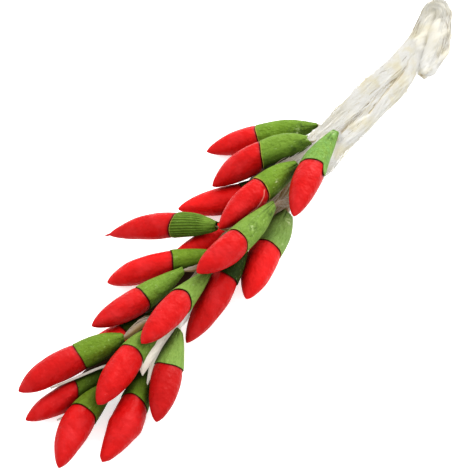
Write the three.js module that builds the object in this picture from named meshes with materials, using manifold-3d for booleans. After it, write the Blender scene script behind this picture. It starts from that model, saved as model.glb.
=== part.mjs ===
// A dolls'-house string of chillies: small clay chillies, each a red body in a green cap, hung on
// cotton strings that run together into one bundle with a knot at its end. The bunch lies on its side.
// Millimetres. +X runs along the bunch from the chillies' tips to the knot, +Z is up, and the origin
// is under the middle of the whole on the surface that it lies on.
import * as THREE from "three";
import { mergeVertices } from "three/addons/utils/BufferGeometryUtils.js";
import Module from "manifold-3d";

const wasm = await Module();
wasm.setup();

// ---------------------------------------------------------------- driving dimensions
const STRING_DIAMETER = 0.75; // one cotton string
const SEAM_GAP = 0.12; // between a red body and its green cap
const CLEARANCE = 0.12; // between the strings and the clay
const NECK_RADIUS = 0.42; // narrow end of a cap, where the string goes in
const SHOULDER = 0.35; // height of the body's shoulder inside the cap's mouth
const RIM_STEP = 0.06; // how far the cap's rim stands proud of the body
const CHILLI_SIDES = 12;
const STRING_SIDES = 6;
const UNEVENNESS = 0.03; // of the radius, from rolling the clay by hand

const RED_CLAY = { color: 0xdf2a26, roughness: 0.6, metalness: 0 };
const GREEN_CLAY = { color: 0x6f9a35, roughness: 0.65, metalness: 0 };
const COTTON = { color: 0xe1dcc1, roughness: 0.95, metalness: 0 };

const ON_SURFACE = null; // a seam height that is found from the chilli lying on the surface

// Where each chilli lies. Seam: the middle of the joint of cap and body. Heading: where the tip
// points, in degrees from +X seen from above. Dip: how many degrees the tip points down. Then the
// lengths of cap and body and the body's width, the sideways bend from cap to tip in degrees, how
// blunt the tip is (2 is pointed), how domed the cap is (1 is a straight cone), and the points that
// its string passes before it joins the bundle, where that is seen.
const CHILLIES = [
  ["a", [12.2, 6, ON_SURFACE], 140, 5, 5.7, 5.7, 2.7, 4, 2.3, 2.7],
  ["b", [9, 3.2, 4.2], 150, 9, 5, 6.1, 3, 16, 2.9, 3],
  ["c", [9.6, -2.6, 6.3], 194, -3, 5, 6.7, 2.9, 9, 2.6, 1.4],
  ["d", [4.6, 0.2, 5.5], 173, -3, 4.9, 6.5, 2.8, 7, 2.6, 2.5],
  ["e", [5.3, 2.9, ON_SURFACE], 146, 1, 4.5, 6.8, 2.8, -9, 2.8, 1.8],
  ["f", [-2.6, 5.4, 3.1], 121, 12, 4.2, 6.9, 2.7, 12, 2.6, 2.5],
  ["g", [-2.4, -2.1, 6.4], 176, -4, 6, 5.6, 2.8, -8, 2.9, 2.1],
  ["h", [0.9, -3.5, 2.6], 189, 5, 4.4, 6.1, 2.8, 11, 2.9, 2.6],
  ["i", [0.7, 1.7, ON_SURFACE], 164, -2, 5, 6.1, 2.5, -13, 2.3, 2.2],
  ["j", [-6.2, 3.2, 2.5], 133, 15, 4.8, 6.8, 2.7, 7, 3.8, 1.3],
  ["k", [-11.6, 2.5, 3.4], 165, -1, 5, 6.1, 2.6, -6, 2.9, 1.5, [[-6, 0.7, 3.3]]],
  ["l", [-10.7, -1.4, 5.1], 182, -7, 4.7, 6.6, 2.7, 1, 2.9, 1.2],
  ["m", [-4.9, -2.5, 3.35], 189, 12, 4.6, 7.8, 3, -3, 2.8, 1.6],
  ["n", [-15, 2.3, ON_SURFACE], 161, 0, 4.6, 6, 2.5, 0, 2.6, 1.6],
  ["o", [-20.7, 3.1, 3.5], 157, -1, 4.5, 7.2, 2.6, 8, 2.8, 3.1, [[-15.3, 0.9, 3.3], [-13.8, 0.7, 3.1]]],
  ["p", [-23.2, 1.9, ON_SURFACE], 163, -2, 5.1, 5.8, 2.6, -1, 2.7, 2.2],
  ["q", [-25, -0.6, 2], 186, -1, 4.5, 6.4, 3, 18, 2.4, 1.6,
    [[-19.4, -0.8, 2.4], [-17.4, -1.6, 2.8], [-15.8, -1.8, 2.7], [-14.2, -1.7, 2.5], [-12.6, -1.4, 2.3]]],
  ["r", [-17.9, -1, 3.9], 185, -6, 4.5, 6.8, 2.8, 7, 3, 1.6],
  ["s", [-20.9, -3.6, ON_SURFACE], 200, -2, 4.3, 7.3, 3, -11, 2.9, 1],
  ["t", [-16.2, -4.2, 2.7], 206, -1, 4.4, 6.4, 2.9, 1, 2.7, 1.3, [[-10.6, -1.7, 3]]],
].map(([name, seam, heading, dip, cap, body, width, bend, tip, dome, via]) => (
  { name, seam, heading, dip, cap, body, width, bend, tip, dome, via }
));

// The middle line of the bundle from the last chilli to the knot, laid by hand through the bunch.
const BUNDLE_ROUTE = [
  [-18.8, -0.3, 0.9], [-16.7, -0.7, 1.1], [-14.8, -0.9, 1.3], [-12.2, -0.9, 1.5], [-8.7, -0.6, 1.7],
  [-4.9, -0.3, 1.9], [-1.2, -0.3, 2.3], [2.3, -0.4, 2.6], [5.9, -0.5, 2.6], [9.4, -0.7, 2.7],
  [12.5, -0.7, 2.8], [15.6, -0.5, 2.7], [19.5, -0.2, 2.2], [23.5, -0.1, 1.8], [28, -0.1, 1.7],
  [31.5, 0.1, 1.7], [34, 0.5, 1.8], [35.8, 0.9, 2.1],
];

// The knot: the bundle turns over at its end and comes back beside itself as a fat lobe, and ends
// in a short cut tail. Each point is followed by the radius there.
const KNOT_ROUTE = [
  [[35, 0.8, 2.1], 1.2], [[36.3, 0.6, 2.4], 1.15], [[36.2, -0.6, 2.6], 1.05], [[35, -1.5, 2.6], 1.15],
  [[33.2, -2.1, 2.4], 1.3], [[31.6, -2.4, 1.9], 1.1], [[30.3, -2.7, 1.3], 0.75], [[29.1, -3.1, 0.9], 0.6],
];

// ---------------------------------------------------------------- shapes
const degrees = THREE.MathUtils.degToRad;

// A repeatable number from 0 to 1 for a name.
function chance(name, salt) {
  const seed = name.charCodeAt(0) * 12.9898 + salt * 78.233;
  return Math.abs(Math.sin(seed) * 43758.5453) % 1;
}

function turned(profile, sides) {
  return new THREE.LatheGeometry(profile.map(([r, y]) => new THREE.Vector2(r, y)), sides);
}

function moveVertices(geometry, move) {
  const position = geometry.getAttribute("position");
  const p = new THREE.Vector3();
  for (let i = 0; i < position.count; i++) {
    p.fromBufferAttribute(position, i);
    move(p);
    position.setXYZ(i, p.x, p.y, p.z);
  }
  return geometry;
}

function closed(geometry) {
  geometry.deleteAttribute("normal");
  geometry.deleteAttribute("uv");
  return mergeVertices(geometry, 1e-4);
}

// Clay rolled by hand: the section is a little oval and lobed, and the axis curves sideways.
function handRolled(geometry, chilli) {
  const curve = Math.tan(degrees(chilli.bend)) / (chilli.cap + chilli.body);
  const phase = chance(chilli.name, 1) * Math.PI * 2;
  return moveVertices(geometry, (p) => {
    const around = Math.atan2(p.z, p.x);
    const swell = 1 + UNEVENNESS * (Math.cos(2 * around + phase) + 0.5 * Math.cos(3 * around + p.y));
    p.x = p.x * swell - curve * p.y * p.y;
    p.z *= swell;
  });
}

// Share of the full width at a share t of the way from the seam to the tip.
function bodyTaper(t, tip) {
  const nearSeam = t < 0.3 ? 1 - 0.1 * (1 - t / 0.3) ** 2 : 1;
  return (nearSeam * (1 - t ** tip) ** 0.75) / 0.965;
}

function bodyGeometry(chilli, grow = 0) {
  const radius = chilli.width / 2;
  const profile = [[0, -SHOULDER - grow]];
  for (const t of [0, 0.14, 0.32, 0.5, 0.66, 0.8, 0.91, 0.98]) {
    profile.push([radius * bodyTaper(t, chilli.tip) + grow, t * chilli.body]);
  }
  profile.push([0, chilli.body + grow]);
  return handRolled(closed(turned(profile, CHILLI_SIDES)), chilli);
}

function capRimRadius(chilli) {
  return (chilli.width / 2) * bodyTaper(0, chilli.tip) + RIM_STEP;
}

function capGeometry(chilli, grow = 0) {
  const rim = capRimRadius(chilli);
  const profile = [[0, -chilli.cap - grow], [NECK_RADIUS * 0.75 + grow, -chilli.cap - grow]];
  for (const u of [0.96, 0.8, 0.6, 0.38, 0.16, 0.03]) {
    const dome = 1 - u ** chilli.dome;
    profile.push([NECK_RADIUS + (rim - NECK_RADIUS) * dome + grow, -u * chilli.cap]);
  }
  profile.push([rim - RIM_STEP + grow, -SEAM_GAP + grow]);
  profile.push([0, grow > 0 ? 0 : -SEAM_GAP - SHOULDER - 0.05]);
  return handRolled(closed(turned(profile, CHILLI_SIDES)), chilli);
}

// ---------------------------------------------------------------- placing a chilli
function headingMatrix(chilli) {
  const heading = degrees(chilli.heading);
  const dip = degrees(chilli.dip);
  const right = new THREE.Vector3(Math.sin(heading), -Math.cos(heading), 0);
  const along = new THREE.Vector3(
    Math.cos(heading) * Math.cos(dip),
    Math.sin(heading) * Math.cos(dip),
    -Math.sin(dip),
  );
  return new THREE.Matrix4().makeBasis(right, along, new THREE.Vector3().crossVectors(right, along));
}

function lowestPoint(geometry, matrix) {
  const turnedCopy = geometry.clone().applyMatrix4(matrix);
  turnedCopy.computeBoundingBox();
  return turnedCopy.boundingBox.min.z;
}

// Height of the seam: given, or found for one that lies on the surface.
function seamHeight(chilli) {
  if (chilli.seam[2] !== ON_SURFACE) return chilli.seam[2];
  const matrix = headingMatrix(chilli);
  return -Math.min(lowestPoint(bodyGeometry(chilli), matrix), lowestPoint(capGeometry(chilli), matrix));
}

function chilliMatrix(chilli) {
  const matrix = headingMatrix(chilli);
  return matrix.setPosition(chilli.seam[0], chilli.seam[1], seamHeight(chilli));
}

function chilliGroup(chilli) {
  const group = new THREE.Group();
  const body = new THREE.Mesh(bodyGeometry(chilli), new THREE.MeshStandardMaterial(RED_CLAY));
  const cap = new THREE.Mesh(capGeometry(chilli), new THREE.MeshStandardMaterial(GREEN_CLAY));
  body.name = `chilli_${chilli.name}_body`;
  cap.name = `chilli_${chilli.name}_cap`;
  group.add(body, cap);
  chilliMatrix(chilli).decompose(group.position, group.quaternion, group.scale);
  return group;
}

// ---------------------------------------------------------------- strings
function toSolid(geometry) {
  const merged = closed(geometry);
  const mesh = new wasm.Mesh({
    numProp: 3,
    vertProperties: new Float32Array(merged.getAttribute("position").array),
    triVerts: new Uint32Array(merged.index.array),
  });
  return new wasm.Manifold(mesh);
}

function fromSolid(solid) {
  const mesh = solid.getMesh();
  const geometry = new THREE.BufferGeometry();
  geometry.setAttribute("position", new THREE.BufferAttribute(mesh.vertProperties, 3));
  geometry.setIndex(new THREE.BufferAttribute(mesh.triVerts, 1));
  return geometry;
}

// A round closed rod along a route, its radius a function of the share of the way along.
function rod(points, radiusAt, sides, steps) {
  const route = new THREE.CatmullRomCurve3(points.map((p) => new THREE.Vector3(...p)), false, "centripetal");
  const frames = route.computeFrenetFrames(steps, false);
  const profile = [[0, 0]];
  for (let i = 0; i <= steps; i++) profile.push([1, i]);
  profile.push([0, steps]);
  return moveVertices(closed(turned(profile, sides)), (p) => {
    const step = Math.round(p.y);
    const share = step / steps;
    const centre = route.getPointAt(share);
    const radius = radiusAt(share, Math.atan2(p.z, p.x));
    centre.addScaledVector(frames.normals[step], p.z * radius);
    centre.addScaledVector(frames.binormals[step], p.x * radius);
    p.copy(centre);
  });
}

function neckOf(chilli, past) {
  const y = -chilli.cap - past;
  const curve = Math.tan(degrees(chilli.bend)) / (chilli.cap + chilli.body);
  return new THREE.Vector3(-curve * y * y, y, 0).applyMatrix4(chilliMatrix(chilli));
}

const STRING_LEAD = 3.2; // how far along the bundle a string joins it

function bundleMiddle(x) {
  const after = BUNDLE_ROUTE.findIndex((p) => p[0] > x);
  const [from, to] = [BUNDLE_ROUTE[after - 1], BUNDLE_ROUTE[after]];
  const share = (x - from[0]) / (to[0] - from[0]);
  return new THREE.Vector3().fromArray(from).lerp(new THREE.Vector3().fromArray(to), share);
}

function stringRod(chilli) {
  const start = neckOf(chilli, CLEARANCE);
  const via = chilli.via ?? [neckOf(chilli, 0.9).toArray()];
  const lastX = via[via.length - 1][0];
  const join = bundleMiddle(Math.max(lastX, start.x) + STRING_LEAD * 0.7);
  const end = bundleMiddle(Math.max(lastX, start.x) + STRING_LEAD);
  const points = [start.toArray(), ...via, join.toArray(), end.toArray()];
  return rod(points, () => STRING_DIAMETER / 2, STRING_SIDES, 4 + 2 * via.length);
}

// The bundle is as thick as the strings that have joined it by then.
function bundleRod() {
  const firstX = BUNDLE_ROUTE[0][0];
  const lastX = BUNDLE_ROUTE[BUNDLE_ROUTE.length - 1][0];
  const joins = CHILLIES.map((chilli) => neckOf(chilli, 0).x + STRING_LEAD * 0.5);
  const radiusAt = (share, around) => {
    const x = firstX + share * (lastX - firstX);
    let strings = 1;
    for (const join of joins) strings += THREE.MathUtils.smoothstep(x, join - 2, join + 2) * 0.95;
    const lobes = 1 + 0.05 * Math.cos(2 * around + x * 0.25) + 0.04 * Math.cos(6 * around - x * 0.3);
    return (STRING_DIAMETER / 2) * Math.sqrt(strings) * lobes;
  };
  return rod(BUNDLE_ROUTE, radiusAt, 12, 40);
}

function knotRod() {
  const points = KNOT_ROUTE.map(([point]) => point);
  const radii = KNOT_ROUTE.map(([, radius]) => radius);
  const radiusAt = (share) => {
    const at = share * (radii.length - 1);
    const before = Math.min(Math.floor(at), radii.length - 2);
    return THREE.MathUtils.lerp(radii[before], radii[before + 1], at - before);
  };
  return rod(points, radiusAt, 10, 16);
}

// Two cut ends that lie loose between the lowest chillies.
const LOOSE_ENDS = [
  [[-16.8, -0.7, 1.2], [-18.2, 0, 2], [-20.2, 1, 2.8], [-22.6, 2.1, 2.95], [-25.1, 3.4, 2.9]],
  [[-17.6, -0.6, 1], [-19.4, -0.4, 0.6], [-21.5, -0.1, 0.4], [-24, 0.6, 0.36], [-26.4, 1.7, 0.4]],
];

function stringsMesh() {
  let solid = toSolid(bundleRod()).add(toSolid(knotRod()));
  for (const chilli of CHILLIES) solid = solid.add(toSolid(stringRod(chilli)));
  for (const points of LOOSE_ENDS) {
    solid = solid.add(toSolid(rod(points, () => STRING_DIAMETER * 0.4, STRING_SIDES, 6)));
  }
  for (const chilli of CHILLIES) {
    const matrix = chilliMatrix(chilli);
    solid = solid.subtract(toSolid(bodyGeometry(chilli, CLEARANCE).applyMatrix4(matrix)));
    solid = solid.subtract(toSolid(capGeometry(chilli, CLEARANCE * 0.9).applyMatrix4(matrix)));
  }
  const mesh = new THREE.Mesh(fromSolid(solid), new THREE.MeshStandardMaterial(COTTON));
  mesh.name = "strings";
  return mesh;
}

// ---------------------------------------------------------------- the whole
const bunch = new THREE.Group();
for (const chilli of CHILLIES) bunch.add(chilliGroup(chilli));
bunch.add(stringsMesh());

const box = new THREE.Box3().setFromObject(bunch, true);
bunch.position.set(-(box.min.x + box.max.x) / 2, -(box.min.y + box.max.y) / 2, -box.min.z);

const group = new THREE.Group();
group.add(bunch);
export default group;
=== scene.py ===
"""A dolls'-house string of chillies: twenty small clay chillies, each a red body in a green cap, on
cotton strings that run together into one bundle with a knot at its end. The bunch lies on its side."""
import math

import bpy
import numpy as np
from bpy.props import FloatProperty, FloatVectorProperty, IntProperty, PointerProperty
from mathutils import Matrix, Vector


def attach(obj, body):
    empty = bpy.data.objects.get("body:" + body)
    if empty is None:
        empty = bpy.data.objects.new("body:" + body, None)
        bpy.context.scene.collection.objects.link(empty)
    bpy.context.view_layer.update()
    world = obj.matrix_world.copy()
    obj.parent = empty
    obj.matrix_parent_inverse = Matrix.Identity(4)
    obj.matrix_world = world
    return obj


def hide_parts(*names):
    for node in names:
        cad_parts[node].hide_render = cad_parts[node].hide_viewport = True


bl_info = {
    "name": "Dolls'-house string of chillies",
    "version": (1, 0, 0),
    "blender": (4, 5, 0),
    "location": "3D View > Sidebar > Chillies",
    "description": "Dresses the packed frame of a small clay string of chillies",
    "category": "Object",
}

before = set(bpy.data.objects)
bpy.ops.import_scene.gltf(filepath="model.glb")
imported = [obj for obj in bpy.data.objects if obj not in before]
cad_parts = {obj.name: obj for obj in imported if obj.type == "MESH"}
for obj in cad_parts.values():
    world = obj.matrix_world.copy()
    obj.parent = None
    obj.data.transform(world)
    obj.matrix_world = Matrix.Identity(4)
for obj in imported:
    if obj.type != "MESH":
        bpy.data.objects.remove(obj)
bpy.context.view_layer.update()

MM = 0.001
# The frame's origin is under the middle of the bunch; the routes below are laid out from this point.
LAYOUT_ORIGIN = np.array([-3.114, -1.734, 0.0439])

def clay_chilli(seam, heading, dip, cap, body, width, bend, tip, dome, **own):
    """The measures of one chilli under their names."""
    return dict(seam=seam, heading=heading, dip=dip, cap=cap, body=body, width=width, bend=bend,
                tip=tip, dome=dome, **own)


# What each chilli has: the seam of cap and body, the heading of the tip seen from above, the dip of
# the tip, the lengths of cap and body, the body's width, the sideways bend, the bluntness of the tip
# (2 is pointed) and the roundness of the cap (1 is a straight cone). Then what only some have:
#   tilt: how far the rim's edge slants, in the chilli's own x and z; lean: how far the cap leans
#   neck: the cap's radius at its string; rim: how much painted highlight lies along its edge; flaps: torn
#       places of the edge
#   (angle, spread, reach, flare); ridges: how many run along the cap
#   corner: the place of the widest corner of a body with flat sides; nib: the length of a thin tip
#   scar: places and angles of a crease pressed into the body
#   via: what the string passes before the bundle; lead: the share of its width that it starts with;
#   thick: its width against the others; dusty: the least painted shade on it
#   mix: shares of olive, pale (partly painted light) and deep (painted shade) green in the cap; bluish:
#       its share of blue green
#   shade: how light the body is painted (painted light and shade); flaking, soiled: marks on the cap
#       (place, angle, size)
CHILLIES = {
    "a": clay_chilli((12.2, 6, 1.46), 140, 5, 6, 5.7, 2.78, 4, 2.3, 3, tilt=(-0.1, 0.18), neck=0.2,
        rim=1, lead=0.8, mix=(0.1, 0, 0), shade=1.08, flaking=[(-3.8, 140, 0.35)],
        soiled=[(-4.4, 124, 0.7), (-3.4, 130, 0.6)]),
    "b": clay_chilli((9, 3.2, 4.2), 150, 9, 4.85, 6.1, 3, 16, 2.9, 3, tilt=(-0.55, 0.07), neck=0.5,
        rim=1, mix=(0.15, 0.05, 0), flaking=[(-4.6, 108, 0.15)],
        soiled=[(-3.95, 138, 0.4), (-3, 150, 0.5)]),
    "c": clay_chilli((9.6, -2.6, 6.3), 194, -3, 5, 6.7, 2.9, 9, 2.6, 1.4, tilt=(0.3, 0.08), neck=0.42,
        rim=0.4, flaps=[(165, 22, 1.0, 0.18)], mix=(0, 0.1, 0), bluish=0.35, flaking=[(-4.4, 93, 0.3)],
        soiled=[(-3.4, 112, 0.35), (-0.9, 140, 0.3)]),
    "d": clay_chilli((4.6, 0.2, 5.5), 173, -3, 4.9, 6.5, 2.85, 7, 2.6, 2.5, tilt=(-0.15, -0.18), rim=1,
        scar=[(0.46, 127), (0.88, 149), (1.46, 162), (2.08, 175), (3.1, 172)], mix=(0.1, 0, 0),
        flaking=[(-1.25, 132, 0.2), (-1.7, 138, 0.15)], soiled=[(-3.4, 128, 0.5)]),
    "e": clay_chilli((5.3, 2.9, 1.44), 146, 1, 4.5, 6.8, 2.8, -9, 2.8, 1.8, rim=0, mix=(0, 0, 0.5),
        shade=1.3),
    "f": clay_chilli((-2.6, 5.4, 3.1), 121, 12, 4.2, 6.9, 2.7, 12, 2.6, 2.5, tilt=(-0.4, 0), neck=0.5,
        rim=1, nib=0.4, ridges=26, mix=(0, 0.05, 0)),
    "g": clay_chilli((-2.4, -2.1, 6.4), 176, -4, 6, 5.6, 2.8, -8, 2.9, 2.1, tilt=(0, -0.44), rim=0.6,
        mix=(0.1, 0.12, 0), flaking=[(-1.6, 113, 0.25)], soiled=[(-4.6, 146, 0.6), (-1.8, 112, 0.6),
        (-5.4, 164, 0.4)]),
    "h": clay_chilli((0.9, -3.5, 2.6), 189, 5, 4.4, 6.1, 3.15, 11, 3.1, 2.8, tilt=(-0.06, -0.2),
        lean=0.6, neck=0.7, rim=0.6, mix=(0, 0.3, 0), shade=1.2,
        flaking=[(-0.6, 142, 0.15), (-3.3, 132, 0.4)], soiled=[(-4.1, 110, 0.4)]),
    "i": clay_chilli((0.7, 1.7, 1.26), 164, -2, 5, 6.1, 2.5, -13, 2.3, 2.2, shade=1.6),
    "j": clay_chilli((-6.2, 3.2, 2.5), 133, 15, 4.8, 6.8, 2.7, 7, 3.8, 1.3, tilt=(0.1, -0.5), rim=0.2,
        mix=(0.3, 0, 0), shade=1.15),
    "k": clay_chilli((-11.6, 2.5, 3.4), 165, -1, 5, 6.1, 2.72, -6, 2.9, 1.5, tilt=(0, 0.06), rim=0.15,
        via=[(-6, 0.7, 3.3)], dusty=0.3, mix=(0.1, 0.05, 0)),
    "l": clay_chilli((-10.7, -1.4, 5.1), 182, -7, 4.7, 6.6, 2.7, 1, 2.9, 1.2, tilt=(0, -0.6), rim=0.2,
        mix=(0.2, 0.15, 0)),
    "m": clay_chilli((-4.9, -2.5, 3.35), 189, 12, 4.6, 7.8, 3, -3, 2.8, 1.6, tilt=(0.06, -0.05), rim=0,
        mix=(0.5, 0, 1), shade=0.95),
    "n": clay_chilli((-15, 2.3, 1.255), 161, 0, 4.6, 6, 2.5, 0, 2.6, 1.6, mix=(0.3, 0, 0.6), shade=1.7),
    "o": clay_chilli((-20.7, 3.1, 3.5), 157, -1, 4.5, 7.2, 2.92, 8, 3.5, 3.1, tilt=(-0.07, 0.48),
        neck=0.6, via=[(-15.3, 0.9, 3.3), (-13.8, 0.7, 3.1)], thick=1.35, dusty=0.9, mix=(0.3, 0, 0.1),
        shade=0.93),
    "p": clay_chilli((-23.2, 1.9, 1.3), 163, -2, 5.1, 5.8, 2.6, -1, 2.7, 2.2, tilt=(-0.33, -0.25),
        via=[(-17.3, -0.4, 1.4), (-16.3, -0.8, 2.1), (-15.3, -0.9, 2.4), (-14.4, -1, 2.6),
        (-13.3, -1.1, 2.6)], dusty=0.9, mix=(0.3, 0, 0.45)),
    "q": clay_chilli((-25, -0.6, 2), 186, -1, 4.5, 6.4, 3.05, 18, 2.7, 1.6, tilt=(0, -0.15),
        via=[(-18.9, -1.2, 1.9), (-17.5, -1.4, 2), (-16.6, -1.5, 2.4), (-15.5, -1.5, 2.6),
        (-14.1, -1.4, 2.7), (-12.9, -1.3, 2.6)], dusty=0.5, mix=(0.5, 0, 0.2)),
    "r": clay_chilli((-17.9, -1, 3.9), 185, -6, 4.5, 6.8, 2.95, 7, 3.2, 1.6, tilt=(0, -0.13),
        mix=(0.2, 0.1, 0)),
    "s": clay_chilli((-20.9, -3.6, 1.46), 200, -2, 4.3, 7.3, 3, -11, 2.9, 1.6, tilt=(-0.27, -0.29),
        corner=0.38, via=[(-16.8, -2.1, 1.9), (-16.1, -2, 2.4), (-14.9, -1.8, 2.6), (-13.7, -1.6, 2.7),
        (-12.6, -1.4, 2.5)], mix=(0.25, 0, 0)),
    "t": clay_chilli((-16.2, -4.2, 2.7), 206, -1, 4.4, 6.4, 2.9, 1, 2.7, 1.3, tilt=(-0.09, 0.4),
        via=[(-11.4, -2, 2.9), (-10.4, -1.7, 3.1)], mix=(0, 0.2, 0), shade=0.85),
}
# The middle line of the bundle, then of the knot: x, y, z and the radius of the bundle there. In the
# knot the bundle turns over itself, tucks under and comes back beside itself as a fat lobe.
BUNDLE_ROUTE = [
    (-17.3, -2.3, 0.8, 0.5), (-16.5, -1.9, 1.5, 0.85), (-15.6, -1.5, 2.2, 0.95),
    (-14.3, -1.3, 2.3, 0.9), (-12.5, -1.1, 2.1, 1), (-8.7, -0.6, 1.8, 1.1), (-4.9, -0.3, 1.9, 1.25),
    (-1.2, -0.3, 2.3, 1.35), (2.3, -0.4, 2.6, 1.5), (5.9, -0.3, 2.6, 1.65), (9.4, -0.1, 2.7, 1.85),
    (12.5, -0.4, 2.7, 2), (15.6, -0.5, 2.5, 1.68), (19.5, -0.5, 2.1, 1.74), (23.5, -0.5, 1.8, 1.74),
]
KNOT_ROUTE = [
    (27, -0.65, 1.7, 1.56), (29.4, -0.3, 1.5, 1.3), (31.5, 0, 1.3, 1.05), (33.6, 0.4, 1.3, 0.92),
    (35.5, 1, 1.4, 0.85), (36.6, 1.2, 1.7, 0.85), (37.1, 0.7, 1.95, 0.9), (36.8, 0.1, 1.9, 0.95),
    (36.1, -0.3, 1.5, 0.86), (35.2, -0.8, 1.6, 1.1), (34.2, -1.3, 1.7, 1.3), (32.9, -1.85, 1.6, 1.32),
    (31.5, -2.3, 1.4, 1.18), (30, -2.55, 1.1, 0.96), (29, -2.6, 0.9, 0.74),
]
# Painted shade: a flattened pad of cotton under the bunch, painted near black so that the gaps between
# the chillies look dark, with its radius at each point.
SHADE_PAD_ROUTE = [
    (-21.3, 2.9, 0.45, 0.2), (-20, 2.3, 0.6, 0.6), (-17.8, 1.7, 0.6, 0.8), (-14, 1.7, 0.6, 0.8),
    (-11, 1.9, 0.6, 0.75), (-8.5, 2, 0.6, 0.75), (-5.9, 2, 0.7, 0.85), (-3, 2.6, 0.7, 0.8),
    (0, 2.3, 0.8, 0.85), (4, 2, 0.8, 0.85), (7.5, 3, 0.7, 0.9), (10.5, 2.8, 0.8, 0.7),
]
# The two groups of strings in the bundle: middle, radius, and the strings round it and inside.
BUNDLE_GROUPS = ((0.74, 0.52, 8, 3), (-0.83, 0.51, 6, 3))
GROUP_TURNS = (5, -4)  # degrees that the large and the small group twist over each mm
VALLEY = -0.07  # where the groove between the groups lies
BUNDLE_ROLL = (0.918, 0.39)  # the way from the small group of strings to the large one, in y and z
# Two tufts over the neck of chilli s, with their radius at each point; they lie in shade and are painted
# light.
TUFT_ROUTES = {
    "cotton_tuft_left": [
        (-18.6, -2.8, 2.85, 0.05), (-18.1, -2.5, 3.1, 0.35), (-17.4, -2.2, 3.4, 0.6),
        (-16.5, -2, 3.35, 0.65), (-15.2, -1.8, 3.1, 0.55), (-13.8, -1.4, 2.8, 0.4),
        (-12.3, -1.25, 2.3, 0.3)],
    "cotton_tuft_right": [
        (-19.2, -3.7, 2.1, 0.04), (-18.3, -3.3, 2.3, 0.16), (-17.1, -2.9, 2.4, 0.4),
        (-15.7, -2.4, 2.5, 0.45), (-14.5, -1.9, 2.5, 0.4), (-13.2, -1.6, 2.4, 0.35),
        (-12, -1.4, 2.1, 0.3)],
}
LOOSE_ENDS = {
    "loose_end_upper": [(-16.8, -0.7, 1.2), (-18.2, 0, 2), (-20.2, 1, 2.8), (-22.6, 2.1, 2.95),
                        (-25.1, 3.4, 2.9)],
    "loose_end_lower": [(-17.6, -0.6, 1), (-19.4, -0.4, 0.6), (-21.5, -0.1, 0.4), (-24, 0.6, 0.36),
                        (-26.4, 1.7, 0.4)],
}

BODY_SIDES = 64
CAP_SIDES = 96
CENTRE_STEP = 0.25  # between points of the bundle's middle line, mm
STRING_STEP = 0.22  # between points of a string
JOINING_POINTS = 140  # the strings join the bundle along this many points of its middle line
RISING_POINTS = 200  # so many points before the middle line turns back in the knot
KNOT_FROM, KNOT_FULL = 28, 30.5  # x where the strings begin to sink into the knot, and where it is solid
FLOOR_CLEARANCE = 0.02  # cotton is pressed flat this far above the floor

SKY_STRENGTH = 1.25
FLOOR_GLOW = 0.75  # light that the floor gives back
# painted light: the cotton glows, standing for light that wanders through it
COTTON_GLOW = 0.3  # light that wanders through loose cotton and softens its shadows
FLOOR_LIT = 0.5  # light that comes through the paper
FLOOR_HALF = 1.5  # metres from the middle of the floor to its edge
KEY_DIRECTION = (0.85, 0.02, 0.5)
KEY_DISTANCE = 0.45
KEY_SIZE = 0.3
KEY_WATTS = 1.7
KEY_COLOUR = (1.0, 0.985, 0.96)
CAMERA_AZIMUTH = -53.0
CAMERA_ELEVATION = 55.0
CAMERA_DISTANCE = 0.3
CAMERA_FIELD = 0.047  # width of the picture at the aim
CAMERA_SENSOR = 36.0
AIM_HEIGHT = 3.0  # of the point that the camera looks at, mm


# ---------------------------------------------------------------- properties
class ChilliSizes(bpy.types.PropertyGroup):
    unevenness: FloatProperty(
        name="Unevenness", description="How far hand rolling leaves a section from round",
        default=0.03, min=0, max=0.2, subtype="FACTOR")
    dents: FloatProperty(
        name="Dents", description="Depth of the shallow dents in the clay",
        default=0.03 * MM, unit="LENGTH", precision=5)
    rim_step: FloatProperty(
        name="Rim step", description="How far the cap's rim stands proud of the body",
        default=0.06 * MM, unit="LENGTH", precision=5)
    seam_gap: FloatProperty(
        name="Seam gap", description="Width of the gap between a body and its cap",
        default=0.14 * MM, unit="LENGTH", precision=5)
    neck_radius: FloatProperty(
        name="Neck radius", description="Radius of a cap where its string goes in",
        default=0.4 * MM, unit="LENGTH", precision=5)
    crease_depth: FloatProperty(
        name="Crease depth", description="Depth of the lengthwise creases in a cap",
        default=0.05 * MM, unit="LENGTH", precision=5)


class StringSizes(bpy.types.PropertyGroup):
    diameter: FloatProperty(
        name="Diameter", description="Diameter of one cotton string",
        default=0.74 * MM, unit="LENGTH", precision=5)
    slack: FloatProperty(
        name="Slack", description="How much wider a string spreads in the bundle than at its cap",
        default=1.12, min=1, max=1.5, subtype="FACTOR")
    twist_pitch: FloatProperty(
        name="Twist pitch", description="Length of one turn of the loosely twisted cotton",
        default=11 * MM, unit="LENGTH", precision=5)
    bundle_radius: FloatProperty(
        name="Bundle radius", description="Radius of the whole bundle",
        default=1.68 * MM, unit="LENGTH", precision=5)
    fibres: IntProperty(
        name="Loose fibres", description="Number of fibres in each of the two lots on the strings",
        default=4000)


class BunchColours(bpy.types.PropertyGroup):
    red: FloatVectorProperty(
        name="Red clay", description="Colour of the bodies", subtype="COLOR", size=3,
        default=(0.475, 0.0065, 0.006))
    green: FloatVectorProperty(
        name="Green clay", description="Colour of the caps", subtype="COLOR", size=3,
        default=(0.135, 0.24, 0.02))
    cotton: FloatVectorProperty(
        name="Cotton", description="Colour of the strings", subtype="COLOR", size=3,
        default=(0.76, 0.755, 0.725))


def settings():
    return bpy.context.scene


# ---------------------------------------------------------------- numbers and shapes
def srgb(code):
    """A hex colour such as "e1dcc1" as linear red, green, blue."""
    channels = [int(code[i:i + 2], 16) / 255 for i in (0, 2, 4)]
    return [c / 12.92 if c <= 0.04045 else ((c + 0.055) / 1.055) ** 2.4 for c in channels]


def smoothstep(x, low, high):
    t = np.clip((x - low) / (high - low), 0, 1)
    return t * t * (3 - 2 * t)


def seed_of(name):
    return sum(ord(letter) * 31 ** i for i, letter in enumerate(name)) % 100003


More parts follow.
